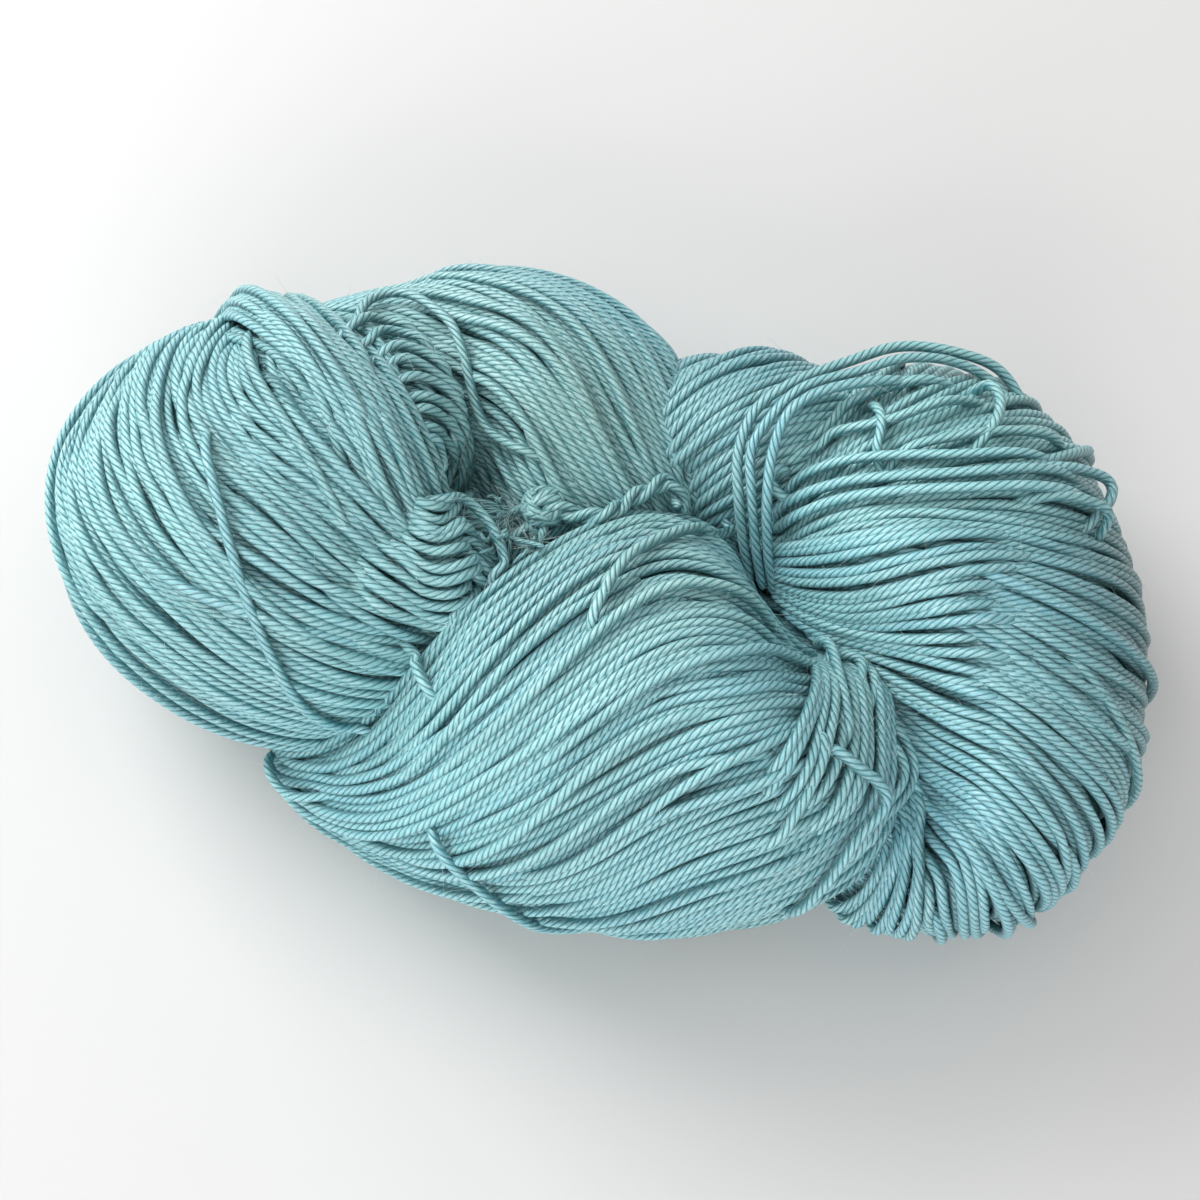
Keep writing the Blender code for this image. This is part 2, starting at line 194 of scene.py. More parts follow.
def creased(points, crease):
    # the skin of a lobe sunk along a crease, on its upper side alone
    line = smoothRows(crease["line"], np.linspace(0, 1, 31))
    apart = np.linalg.norm(points[..., None, :2] - line[:, :2], axis=-1)
    depth = line[apart.argmin(axis=-1), 2]
    low, high = crease["fade"]
    share = np.clip((points[..., 2] - low) / (high - low), 0, 1)
    share = share * np.exp(-((apart.min(axis=-1) / crease["reach"]) ** 2))
    return points - (depth * share)[..., None] * (0, 0, 1)


def foldSurface(lobe, angles, shares):
    # points on the skin, in a row for each angle
    arcs = poleArcs(directionOf(*lobe["first"]), directionOf(*lobe["last"]), angles, shares)
    full = lobe["fullness"]
    arcs /= (np.abs(arcs) ** full).sum(axis=-1, keepdims=True) ** (1 / full)
    turned = np.array(Matrix.Rotation(math.radians(lobe["yaw"]), 3, "Z"))
    return (arcs * np.array(lobe["half"])) @ turned.T + np.array(lobe["middle"], float)


def plySurface(lobe, angles, shares):
    rows = lobe["sections"]
    if "facings" in lobe:
        rows = np.hstack((rows, lobe["facings"]))
    read = smoothRows(rows, shares)
    middles = read[:, :3]
    sizes = np.maximum(read[:, 3:6], 0.3)
    forward = unit(np.gradient(middles, axis=0))
    if "facings" in lobe:
        forward = directionOf(read[:, 7], read[:, 8])
    across = np.array((0.0, 1.0, 0.0))
    surface = np.empty((len(angles), len(middles), 3))
    for row, ahead in enumerate(forward):
        across = unit(across - ahead * (across @ ahead))
        upward = np.cross(ahead, across)
        turn = angles + math.radians(read[row, 6])
        height = np.where(np.sin(turn) > 0, sizes[row, 1], sizes[row, 2]) * np.sin(turn)
        width = sizes[row, 0] * np.cos(turn)
        surface[:, row] = middles[row] + width[:, None] * across + height[:, None] * upward
    return surface


def surfaceOf(lobe, angles, shares):
    surface = (plySurface if "sections" in lobe else foldSurface)(lobe, angles, shares)
    return (creased(surface, lobe["crease"]) if "crease" in lobe else surface) - tableMiddle


def evenAngles(lobe, count, start=0.0):
    # angles that space the strands evenly where the lobe is widest, and its girth there
    tried = np.linspace(0, 2 * np.pi, 361)    # a degree apart
    rows = surfaceOf(lobe, tried, np.linspace(0.3, 0.7, 9))
    steps = np.linalg.norm(np.diff(rows, axis=0), axis=2)
    widest = steps[:, steps.sum(axis=0).argmax()]
    travelled = summed(widest)
    return np.interp((np.arange(count) + start) / count * travelled[-1], travelled, tried), travelled[-1]


def outwardOf(surface):
    # unit vectors across the strands and out of the surface
    across = unit(np.roll(surface, -1, axis=0) - np.roll(surface, 1, axis=0))
    along = unit(np.gradient(surface, axis=1))
    outward = unit(np.cross(across, along))
    middle = surface[:, surface.shape[1] // 4:-surface.shape[1] // 4].mean(axis=(0, 1))
    if ((surface - middle) * outward).sum() < 0:
        outward = -outward
    outward[:, 0], outward[:, -1] = outward[:, 1], outward[:, -2]
    across[:, 0], across[:, -1] = across[:, 1], across[:, -2]
    return across, outward


def shellOf(lobe, inset=0.0, columns=72, rows=40):
    # a closed skin over a lobe, for the core and for telling what lies inside it
    surface = surfaceOf(lobe, np.linspace(0, 2 * np.pi, columns, endpoint=False), np.linspace(0, 1, rows))
    _, outward = outwardOf(surface)
    surface = surface - outward * inset
    points = [surface[:, 0].mean(axis=0), surface[:, -1].mean(axis=0)]
    points += [surface[column, row] for row in range(1, rows - 1) for column in range(columns)]
    faces = []
    lastRing = 2 + (rows - 3) * columns
    for column in range(columns):
        beside = (column + 1) % columns
        faces.append((0, 2 + beside, 2 + column))
        faces.append((lastRing + column, lastRing + beside, 1))
        for ring in range(2, lastRing, columns):
            faces.append((ring + column, ring + beside, ring + columns + beside, ring + columns + column))
    points = np.array(points)
    sample = faces[len(faces) // 2]
    facing = np.cross(points[sample[1]] - points[sample[0]], points[sample[2]] - points[sample[0]])
    if facing @ (points[sample[0]] - points.mean(axis=0)) < 0:
        faces = [face[::-1] for face in faces]
    return points, faces


def joined(skins):
    # several skins as one
    allPoints, allFaces = [], []
    for points, faces in skins:
        allFaces += [tuple(corner + len(allPoints) for corner in face) for face in faces]
        allPoints += list(points)
    return allPoints, allFaces


skins = {name: shellOf(lobe) for name, lobe in lobes.items()}
shells = {name: BVHTree.FromPolygons(list(points), faces) for name, (points, faces) in skins.items()}
reaches = {name: (points.min(axis=0), points.max(axis=0)) for name, (points, _) in skins.items()}
form = BVHTree.FromPolygons(*joined(skins.values()))


def depthInside(points, name):
    # how far points lie under the skin of a lobe, below 0 where they are outside it
    depths = np.full(len(points), -farOff)
    low, high = reaches[name]
    near = ((points > low) & (points < high)).all(axis=1)
    for index in np.flatnonzero(near):
        spot, normal, _, distance = shells[name].find_nearest(points[index])
        inside = (Vector(points[index]) - spot).dot(normal) < 0
        depths[index] = distance if inside else -distance
    return depths


def slowWaves(count, waves, strength):
    # a random, smooth value along each strand
    shares = np.linspace(0, 1, winding["rows"])
    value = np.zeros((count, len(shares)))
    for wave in waves:
        phase = chance.uniform(0, 2 * np.pi, (count, 1))
        size = chance.normal(0, 1, (count, 1))
        value += size * np.sin(2 * np.pi * wave * shares + phase)
    return strength * value / math.sqrt(len(waves) / 2 + 0.5)


def smoothAround(values, width):
    # blended over neighbouring strands at the same strength, for what a bundle does together
    total = np.zeros_like(values)
    weights = np.hanning(2 * width + 3)[1:-1]
    for offset, weight in zip(range(-width, width + 1), weights):
        total += weight * np.roll(values, offset, axis=0)
    return total / math.sqrt((weights**2).sum())


winding = {
    "pitch": 1.84,  # spacing of the strands where a lobe is widest
    "rows": 56, "ends": (0.012, 0.988),  # points along a strand, and where on the lobe's length it runs
    "wander": 0.85, "bundleWander": 1.25,  # how far a strand strays sideways, and a bundle of neighbours
    "unevenness": 0.34, "bundleHeight": 0.55,  # and how far they stand higher or lower
    "strandsInBundle": 5,
    "rank": 0.618034, "rankSpread": 0.25,  # where strands crowd, those of high rank sink
    "mostLayers": 5, "layer": 0.84,  # by so many layers at most, each this deep in thicknesses
    "closest": 0.93,  # least distance between two strands, in thicknesses
    "rounds": 50, "push": 0.35, "smoothing": 0.30,  # rounds in which they move apart
    "sideReturn": 0.04, "heightReturn": 0.10, "highest": 0.35,  # and go back to their own place
    "deepPitch": 1.15, "deepLayer": 1.35,  # the layer below: spacing against the outer one's, and depth
    "hiddenDepth": 2.6, "shortest": 5.0,  # strands this far inside another lobe or this short aren't made
}


def laidStrands(lobe, pitch, depth=0.0, start=0.0):
    # strands side by side over a lobe, pushed apart where they crowd and sunk where there is no room
    thick = yarn["thick"]
    rows = winding["rows"]
    _, around = evenAngles(lobe, 8)
    count = max(8, round(around / pitch))
    angles, _ = evenAngles(lobe, count, start)
    surface = surfaceOf(lobe, angles, np.linspace(*winding["ends"], rows))
    across, outward = outwardOf(surface)
    if ((np.roll(surface, -1, axis=0) - surface) * across).sum() < 0:
        across = -across
    spacing = np.linalg.norm(np.roll(surface, -1, axis=0) - surface, axis=2)
    spacing = (spacing + np.roll(spacing, 1, axis=0)) / 2
    least = thick * winding["closest"]
    rank = (np.arange(count) * winding["rank"] + chance.uniform(0, winding["rankSpread"], count)) % 1.0
    layer = np.clip(rank[:, None] * (least / np.maximum(spacing, tiny)) - 1, 0, winding["mostLayers"])
    bundle = winding["strandsInBundle"]
    strength = lobe["loose"]
    height = slowWaves(count, (1, 2, 3, 5), winding["unevenness"] * strength)
    height += smoothAround(slowWaves(count, (0.5, 1, 2), winding["bundleHeight"] * strength), bundle // 2)
    wantedHeight = height - layer * winding["layer"] * thick
    wantedSide = slowWaves(count, (1, 2, 3), winding["wander"] * strength)
    wantedSide += smoothAround(slowWaves(count, (0.7, 1.5, 2.5), winding["bundleWander"] * strength), bundle)
    wantedSide *= np.minimum(spacing / thick, 1.0)
    side, lift = wantedSide.copy(), wantedHeight.copy()
    for _ in range(winding["rounds"]):
        for offset in (1, 2, 3):
            apart = sum(np.roll(spacing, -step, axis=0) for step in range(offset))
            gapSide = apart + np.roll(side, -offset, axis=0) - side
            gapLift = np.roll(lift, -offset, axis=0) - lift
            distance = np.maximum(np.hypot(gapSide, gapLift), tiny)
            push = np.maximum(least - distance, 0) * winding["push"] / distance
            side -= push * gapSide
            side += np.roll(push * gapSide, offset, axis=0)
            lift -= push * gapLift
            lift += np.roll(push * gapLift, offset, axis=0)
        side += (wantedSide - side) * winding["sideReturn"]
        lift += (wantedHeight - lift) * winding["heightReturn"]
        lift = np.minimum(lift, height + winding["highest"])
        evened(side.T, 1, winding["smoothing"])
        evened(lift.T, 1, winding["smoothing"])
    middle = surface + side[..., None] * across + (lift - thick / 2 - depth)[..., None] * outward
    return list(zip(middle, outward))


stray = {
    "drift": 0.20, "driftShares": (0.3, 1.0),  # radians that a stray strand crosses over the others
    "sway": 0.03, "swayRates": (3, 8),
    "ends": (0.08, 0.92), "lengths": (0.25, 0.65),  # shares of the lobe's length that it rides on
    "rise": 0.95, "riseShares": (0.7, 1.15), "steepness": 0.45,  # height of its middle above the lobe
    "dip": -1.6,  # and of its ends, where it goes back between the others
    "overshoot": 0.04, "fewestRows": 6, "hiddenDepth": 0.6,
}


def strayStrands(lobe):
    # strands that ride over the others at a small angle for a part of the lobe, and go back between them
    angles = np.linspace(0, 2 * np.pi, 241)
    rows = winding["rows"]
    surface = surfaceOf(lobe, angles, np.linspace(*winding["ends"], rows))
    _, outward = outwardOf(surface)
    row = np.arange(rows)
    runs = []
    for _ in range(lobe["strays"]):
        length = chance.uniform(*stray["lengths"])
        begin = chance.uniform(stray["ends"][0], stray["ends"][1] - length)
        drift = chance.choice((-1, 1)) * chance.uniform(*stray["driftShares"])
        drift = drift * stray["drift"] * lobe["loose"]
        share = (row / (rows - 1) - begin) / length
        turn = chance.uniform(0, 2 * np.pi) + drift * (share - 0.5)
        turn = turn + stray["sway"] * np.sin(share * chance.uniform(*stray["swayRates"]))
        place = (turn % (2 * np.pi)) / (2 * np.pi) * (len(angles) - 1)
        low = np.floor(place).astype(int)
        part = (place - low)[:, None]
        high = (low + 1) % (len(angles) - 1)
        skin = surface[low, row] * (1 - part) + surface[high, row] * part
        facing = unit(outward[low, row] * (1 - part) + outward[high, row] * part)
        rise = np.sin(np.pi * np.clip(share, 0, 1)) ** stray["steepness"]
        lift = stray["dip"] + (stray["rise"] * chance.uniform(*stray["riseShares"]) - stray["dip"]) * rise
        kept = (share > -stray["overshoot"]) & (share < 1 + stray["overshoot"])
        if kept.sum() > stray["fewestRows"]:
            runs.append((skin[kept] + facing[kept] * lift[kept, None], facing[kept]))
    return runs


def visibleRuns(strands, name, deepest):
    # the stretches of strands that aren't buried in another lobe
    if not strands:
        return []
    ends = np.cumsum([len(strand) for strand, _ in strands])
    together = np.concatenate([strand for strand, _ in strands])
    buried = np.full(len(together), -farOff)
    for other in lobes:
        if other != name:
            buried = np.maximum(buried, depthInside(together, other))
    runs = []
    for (strand, outward), depth in zip(strands, np.split(buried, ends[:-1])):
        edges = np.flatnonzero(np.diff(np.concatenate(([0], (depth < deepest).astype(int), [0]))))
        for first, last in zip(edges[::2], edges[1::2]):
            first, last = max(first - 1, 0), min(last + 1, len(strand))
            if last - first >= 4 and distancesAlong(strand[first:last])[-1] > winding["shortest"]:
                runs.append((strand[first:last], outward[first:last]))
    return runs


towardEye = directionOf(photo["bearing"], photo["height"])
eye = np.array(photo["target"], float) - tableMiddle + towardEye * photo["distance"]


def sightLines(places):
    # directions from the camera through places in the photo
    rightward = np.array((1.0, 0.0, 0.0))
    upward = np.cross(rightward, -towardEye)
    zoom = photo["pixels"] * photo["lens"] / photo["sensor"]
    across = (places[:, 0] - photo["pixels"] / 2) / zoom
    up = (photo["pixels"] / 2 - places[:, 1]) / zoom
    return unit(-towardEye + across[:, None] * rightward + up[:, None] * upward)


# Strands that have slipped off their fold and stand clear of it, as routes in mm.
slipped = {
    "outerArch": ((24.5, 0, 37), (23, 5, 44), (22, 10, 50), (22, 17, 52), (25, 24, 53), (30, 28, 53),
                  (40, 33, 51), (49, 37, 48), (58, 37, 46), (66, 35, 43), (70, 30, 40), (71.5, 25, 32)),
    "innerArch": ((26.5, -1, 37), (25, 4, 44), (24, 11, 51), (24, 17, 53), (27, 22, 54), (32, 27, 54),
                  (42, 31, 52), (49, 34, 50), (57, 35, 47), (64, 33, 44), (68, 29, 41), (69.5, 23, 32)),
    "lowArch": ((28.5, -2, 36), (27, 3, 43), (26.5, 10, 51), (27.5, 17, 53.5), (30, 22.5, 55),
                (34.5, 26, 54.5), (42, 28.5, 53), (49, 30, 50), (56, 31, 42)),
}

# Loose strands that lie on the others: x and y in the photo, and height in mm above the strands below. An
# end without a height is sunk between them.
loose = {
    "acrossLeftFold": ((204, 424), (208, 450, 0.3), (225, 520, 0.5), (250, 600, 0.5), (272, 650, 0.5),
        (302, 700, 0.4), (335, 720, 0.3), (380, 738)),
    "foldToCrease": ((398, 640), (412, 652, 0.5), (424, 668, 1.0), (431, 685, 0.6), (432, 706)),
    "creaseLoop": ((424, 500, -3.0), (436, 501, 0.6), (449, 506, 1.2), (469, 519, 1.4), (482, 536, 1.4),
        (492, 556, 1.2), (494, 578, 0.9), (489, 596, -3.0)),
    "acrossBackPly": ((352, 325), (362, 315, 0.4), (384, 304, 1.0), (412, 304, 1.3), (438, 315, 1.3),
        (458, 330, 1.2), (469, 352, 1.1), (475, 376, 0.9), (482, 402, 0.8), (495, 426, 0.7),
        (517, 444, 0.4), (545, 462, -2.6)),
    "poppedUp": ((762, 528), (728, 528, 0.2), (690, 536, 0.6), (656, 549, 0.9), (634, 563, 1.2),
        (618, 582, 1.4), (606, 602, 1.2), (595, 621, 0.4), (588, 634)),
    "darkThread": ((420, 818), (442, 842, 0.3), (480, 880, 0.5), (540, 918, 0.5), (606, 940)),
    "leftUnderside": ((262, 748), (276, 766, 0.6), (288, 784, 0.9), (304, 794, 0.6), (336, 798)),
    # the lip of the front ply
    "lipUpright": ((816, 640), (823, 650, 1.2), (829, 682, 1.6), (835, 714, 1.6), (837, 739, 1.2),
        (833, 760, -3.0)),
    "lipRaised": ((815, 747), (823, 752, 1.2), (831, 759, 2.2), (843, 771, 2.8), (856, 780, 3.0),
        (865, 788, 3.0), (868, 800, 2.8), (860, 812, 2.6), (847, 826, 2.4), (835, 843, 2.2),
        (825, 861, 1.8), (811, 882, 1.2), (792, 902, 0.6), (776, 918)),
    "lipLoopOne": ((822, 672), (830, 660, 0.8), (839, 656, 1.3), (849, 661, 1.5), (855, 672, 1.4),
        (853, 688, 1.0), (848, 716, 0.6), (843, 750, -3.0)),
    "lipLoopTwo": ((835, 655), (847, 649, 0.8), (862, 651, 1.3), (872, 660, 1.5), (874, 672, 1.4),
        (870, 690, 1.0), (861, 714, 0.6), (853, 745, 0.6), (846, 770, -3.0)),
    "lipOuter": ((880, 715), (886, 732, 0.6), (897, 748, 1.0), (904, 766, 1.0), (900, 784, 0.9),
        (890, 800, 0.7), (874, 816, 0.6), (862, 838, 0.5), (846, 862)),
    "lipOuterTwo": ((876, 726), (884, 748, 0.6), (893, 764, 0.9), (892, 782, 0.8), (880, 800, 0.6),
        (864, 822, 0.5), (850, 848, 0.4), (832, 872)),
    "lipSlantTwo": ((806, 722), (813, 738, 0.8), (814, 754, 1.1), (806, 780, 1.0), (792, 808, 0.8),
        (776, 832, 0.5), (752, 860)),
    # the right fold's kinks, loops and crossing strands
    "kinkRight": ((862, 402, -3.0), (876, 413, 0.6), (884, 425, 1.4), (884, 441, 1.6), (880, 455, 1.2),
        (878, 474)),
    "kinkLeft": ((788, 470, 0.0), (776, 467, 0.9), (768, 475, 1.1), (774, 486, 1.0), (786, 496, 0.5),
        (800, 504, -3.0)),
    "rightHook": ((968, 388, -3.0), (984, 394, 0.8), (994, 406, 1.3), (994, 424, 1.4), (984, 442, 1.1),
        (962, 462, -2.6)),
    "endLoop": ((1000, 470), (1045, 473, 0.6), (1080, 479, 1.1), (1099, 490, 1.2), (1100, 506, 0.9),
        (1090, 530)),
    "endLoopLow": ((1010, 500), (1050, 500, 0.5), (1084, 508, 0.9), (1100, 520, 0.8), (1106, 540)),
    "upperOne": ((758, 528), (790, 508, 0.8), (841, 490, 1.2), (958, 480, 1.1), (1050, 478, 0.9),
        (1100, 486)),
    "upperTwo": ((762, 536), (796, 520, 0.8), (850, 503, 1.0), (960, 494, 1.0), (1060, 496, 0.8),
        (1108, 508)),
    "upperThree": ((766, 520), (800, 488, 0.8), (850, 468, 1.2), (950, 462, 1.1), (1030, 462, 0.8),
        (1074, 470)),
    "upperFour": ((785, 460), (820, 446, 0.8), (888, 430, 1.2), (950, 410, 1.0), (992, 396)),
    "upperFive": ((800, 444), (840, 420, 0.7), (888, 398, 1.1), (930, 390, 0.9), (970, 386)),
    "upperSix": ((880, 474), (905, 458, 0.9), (950, 446, 1.3), (1010, 440, 1.2), (1050, 446, 0.6),
        (1074, 458)),
}

# Strands that lie side by side over a turn of the form: how deep their ends are sunk, and a few of their
# routes. The others lie between these.
sheaves = {
    "pinch": {"strands": 19, "sunk": (-3.0, -3.2), "routes": (
        ((716, 516), (742, 531, 0.9), (774, 541, 1.2), (824, 541, 1.0), (880, 534, 0.9), (960, 524, 0.6),
         (1030, 520)),
        ((728, 528, -3.2), (757, 549, 0.9), (792, 566, 1.1), (845, 569, 1.0), (905, 562, 0.9),
         (985, 550, 0.6), (1062, 548)),
        ((742, 542), (766, 565, 0.7), (800, 592, 1.0), (840, 600, 1.0), (905, 590, 0.8), (990, 577, 0.5),
         (1058, 570)),
        ((758, 560), (780, 584, 0.6), (808, 605, 0.9), (852, 615, 0.9), (914, 612, 0.7), (985, 606, 0.4),
         (1040, 604)),
        ((772, 578), (792, 602, 0.5), (822, 620, 0.8), (866, 632, 0.7), (930, 644, 0.6), (985, 652, 0.3),
         (1036, 662)),
        ((786, 598), (806, 619, 0.4), (834, 636, 0.7), (880, 656, 0.6), (936, 680, 0.5), (985, 700, 0.2),
         (1026, 716)),
        ((800, 618), (820, 636, 0.3), (848, 656, 0.6), (890, 682, 0.5), (936, 710, 0.4), (980, 738, 0.1),
         (1014, 758)),
    )},
    "underLip": {"strands": 9, "sunk": (-3.0, -3.2), "routes": (
        ((914, 790), (924, 834, 0.3), (930, 876, 0.7), (922, 912, 0.8), (902, 936, 0.3), (878, 943)),
        ((903, 806), (909, 840, 0.4), (910, 876, 0.8), (898, 908, 0.9), (878, 926, 0.5), (856, 930)),
        ((893, 828), (896, 856, 0.4), (890, 884, 0.8), (872, 906, 0.8), (852, 916, 0.4), (832, 914)),
        ((880, 848), (880, 868, 0.4), (868, 888, 0.6), (852, 900, 0.5), (838, 904, 0.2), (820, 898)),
    )},
    "lip": {"strands": 11, "sunk": (-2.6, -3.2), "routes": (
        ((817, 648), (808, 690, 0.5), (792, 728, 0.8), (768, 772, 0.5), (740, 812)),
        ((820, 646), (820, 690, 0.8), (810, 736, 1.0), (790, 785, 0.7), (762, 830)),
        ((823, 646), (834, 690, 1.0), (836, 742, 1.1), (820, 795, 0.8), (786, 846)),
        ((828, 648), (850, 690, 1.0), (856, 745, 1.1), (843, 802, 0.8), (808, 860)),
        ((836, 650), (864, 688, 1.0), (872, 745, 1.0), (862, 806, 0.8), (828, 870)),
        ((848, 654), (876, 688, 0.8), (886, 745, 0.8), (878, 806, 0.6), (846, 874)),
    )},
    "creaseHooks": {"strands": 11, "sunk": (-6.5, -3.2), "routes": (
        ((412, 486), (428, 508, 0.4), (446, 506, 0.9), (462, 493, 0.9), (473, 503)),
        ((398, 500), (426, 530, 0.6), (442, 536, 0.9), (464, 522, 0.9), (481, 530)),
        ((376, 512), (412, 545, 0.6), (438, 559, 0.9), (466, 549, 0.9), (488, 552)),
        ((356, 524), (402, 566, 0.6), (440, 581, 0.9), (468, 574, 0.9), (491, 568)),
        ((340, 540), (392, 588, 0.5), (438, 603, 0.9), (468, 597, 0.9), (490, 584)),
        ((330, 564), (384, 608, 0.4), (432, 622, 0.8), (464, 617, 0.8), (486, 602)),
    )},
    "fingers": {"strands": 9, "sunk": (-6.5, -3.2), "routes": (
        ((332, 330), (362, 327, 0.4), (396, 328, 0.8), (418, 340, 0.7), (428, 358)),
        ((350, 349), (384, 345, 0.4), (418, 351, 0.8), (438, 368, 0.7), (447, 388)),
        ((366, 368), (398, 363, 0.4), (432, 373, 0.8), (452, 396, 0.7), (458, 418)),
        ((380, 388), (410, 382, 0.4), (440, 394, 0.8), (459, 422, 0.7), (458, 452)),
        ((396, 408), (420, 402, 0.4), (444, 416, 0.8), (458, 444, 0.7), (450, 474)),
        ((408, 428), (424, 422, 0.4), (442, 436, 0.7), (449, 458, 0.6), (440, 482)),
        ((414, 446), (426, 440, 0.2), (437, 450, 0.5), (440, 466, 0.3), (433, 484)),
    )},
}

looseLaying = {
    "pixelsPerMm": 6,
    "step": 0.8, "fewest": 12,  # spacing and least number of the places where the form is felt for
    "bridging": 14,  # rounds in which a strand is pulled straight over a dip
    "distanceEvening": 4, "facingEvening": 10,
    "flatBridging": 10, "flatEvening": 3,  # the same for what is laid from above
}

sheafLaying = {
    "rows": 14,
    "gapSpread": 0.12,  # unevenness of the gaps, as a share of the gap between two routes
    "reached": (0.86, 1.0),  # how much of its route a strand runs, so that no two end side by side
    "wave": 1.6, "waves": (1, 3),  # how far it wavers, in pixels, and how often
    "heightSpread": 0.35,
}


def sunkEnds(row, depths=(-3.2, -3.2)):
    # a route whose ends without a height are sunk between the other strands
    return [(*row[0], depths[0])[:3], *row[1:-1], (*row[-1], depths[1])[:3]]


def laidByEye(row):
    # a loose strand on the form, through its places in the photo
    places = np.array(row, float)
    length = distancesAlong(places[:, :2])[-1] / looseLaying["pixelsPerMm"]
    count = max(looseLaying["fewest"], int(length / looseLaying["step"]))
    read = smoothRows(places, np.linspace(0, 1, count))
    lines = sightLines(read[:, :2])
    away = np.full(count, np.nan)
    outwards = np.zeros((count, 3))
    for index, line in enumerate(lines):
        spot, normal, _, distance = form.ray_cast(Vector(eye), Vector(line))
        if spot is not None:
            away[index] = distance
            outwards[index] = normal
    felt = np.flatnonzero(~np.isnan(away))
    steps = np.arange(count)
    away = bridged(np.interp(steps, felt, away[felt]), looseLaying["bridging"], np.minimum)
    outwards = outwards[felt[np.abs(steps[:, None] - felt).argmin(axis=1)]]
    away = evened(away, looseLaying["distanceEvening"])
    outwards = unit(evened(outwards, looseLaying["facingEvening"]))
    lift = read[:, 2] + yarn["thick"] / 2
    return eye + lines * away[:, None] + outwards * lift[:, None], outwards


def sheafOf(made):
    # the strands of a sheaf, spread evenly between its routes
    shares = np.linspace(0, 1, sheafLaying["rows"])
    routes = np.array([smoothRows(sunkEnds(route, made["sunk"]), shares) for route in made["routes"]])
    places = np.linspace(0, len(routes) - 1, made["strands"])
    spread = sheafLaying["gapSpread"]
    places += chance.uniform(-spread, spread, made["strands"])
    spread = sheafLaying["heightSpread"]
    for place in np.clip(places, 0, len(routes) - 1):
        low = min(int(place), len(routes) - 2)
        row = routes[low] * (1 - place + low) + routes[low + 1] * (place - low)
        reached = shares * chance.uniform(*sheafLaying["reached"])
        row[:, :2] = np.stack([np.interp(reached, shares, row[:, axis]) for axis in (0, 1)], axis=1)
        wave = chance.normal(0, sheafLaying["wave"], 2)
        row[:, :2] += wave * np.sin(shares[:, None] * np.pi * chance.uniform(*sheafLaying["waves"], 2))
        row[:, 2] += chance.uniform(-spread, spread) * np.sin(shares * np.pi)
        yield laidByEye(row)


def heightUnder(spot):
    # height of the form, felt from well above it
    return form.ray_cast(Vector((spot[0], spot[1], 200.0)), Vector((0, 0, -1)))[0].z


def laidFlat(row, lift, count):
    # a length of the tie that follows the form from above
    read = smoothRows([(x, y, 0) for x, y in row], np.linspace(0, 1, count)) - (*tableMiddle[:2], 0)
    beside = [(dx, dy, 0) for dx in (-1, 0, 1) for dy in (-1, 0, 1)]
    read[:, 2] = [max(heightUnder(spot + step) for step in beside) for spot in read]
    bridged(read[:, 2], looseLaying["flatBridging"], np.maximum)
    read[:, 2] = evened(read[:, 2], looseLaying["flatEvening"]) + lift
    return read


tubeShape = {
    "thickness": (0.93, 1.06),  # how much thinner or thicker a strand may be than its yarn
    "tip": 0.45, "besideTip": 0.85,  # radius at its ends and beside them, as a share of its own
    "lowest": 0.54,  # least height of its middle above the surface, in thicknesses
    "fewestRings": 6,
}


def upright(points):
    return np.tile((0, 0, 1.0), (len(points), 1))


def resampled(points, outwards, spacing):
    # a strand with its rings evenly spaced
    travelled = distancesAlong(points)
    count = max(tubeShape["fewestRings"], int(travelled[-1] / spacing) + 1)
    read = np.linspace(0, travelled[-1], count)
    smooth, row, part = between(points, travelled, read)
    return smooth, outwards[row] * (1 - part) + outwards[row + 1] * part, read


def strandTube(points, outwards, make, tip=tubeShape["tip"]):
    # the rings of a round tube along a strand, how far along they are, and how far each side faces inward,
    # which the yarn's finish uses for painted shade
    column = np.arange(make["sides"])
    middles, facing, travelled = resampled(points, outwards, make["ring"])
    middles[:, 2] = np.maximum(middles[:, 2], make["thick"] * tubeShape["lowest"])
    forward = unit(np.gradient(middles, axis=0))
    up = unit(facing - forward * (facing * forward).sum(axis=1, keepdims=True))
    left = np.cross(up, forward)
    turn = chance.uniform(0, 2 * np.pi) + 2 * np.pi * column / make["sides"]
    radius = np.full(len(middles), make["thick"] / 2) * chance.uniform(*tubeShape["thickness"])
    radius[[0, -1]] *= tip
    radius[[1, -2]] *= tubeShape["besideTip"]
    rings = middles[:, None] + radius[:, None, None] * swung(turn, up[:, None], left[:, None])
    return rings, travelled, 0.5 - 0.5 * np.cos(turn)


fuzz = {
    "wisps": 4500, "thick": 0.05, "lengths": (1.0, 4.2), "steps": 4,
    "lean": 0.42, "leanSpread": 0.35, "outSpread": 0.5,  # how far a fibre leans outward
    "curl": 0.9, "outCurl": (-0.1, 0.35),
    "root": 0.45,  # where it starts, in thicknesses from the middle of its strand
    "rootRadius": 1.05, "taper": 0.7,
}


def wisp(start, lead, length, bend, thick):
    # one fibre, as a thin tube of three sides that bends away
    shares = np.linspace(0, 1, fuzz["steps"] + 1)[:, None]
    middles = start + length * (shares * lead + shares**2 * bend)
    forward = unit(np.gradient(middles, axis=0))
    side = unit(np.cross(forward, chance.normal(0, 1, 3)))
    other = np.cross(forward, side)
    turn = np.arange(3) * 2 * np.pi / 3
    radius = thick / 2 * (fuzz["rootRadius"] - fuzz["taper"] * shares)
    middles[:, 2] = np.maximum(middles[:, 2], thick)
    rings = middles[:, None] + radius[..., None] * swung(turn, other[:, None], side[:, None])
    return rings, distancesAlong(middles), np.zeros(3)


bakeGap = 0.6  # between the strips of the baked map
toneTurns = 97  # spreads the strands over the plies' pattern, so that no two start alike


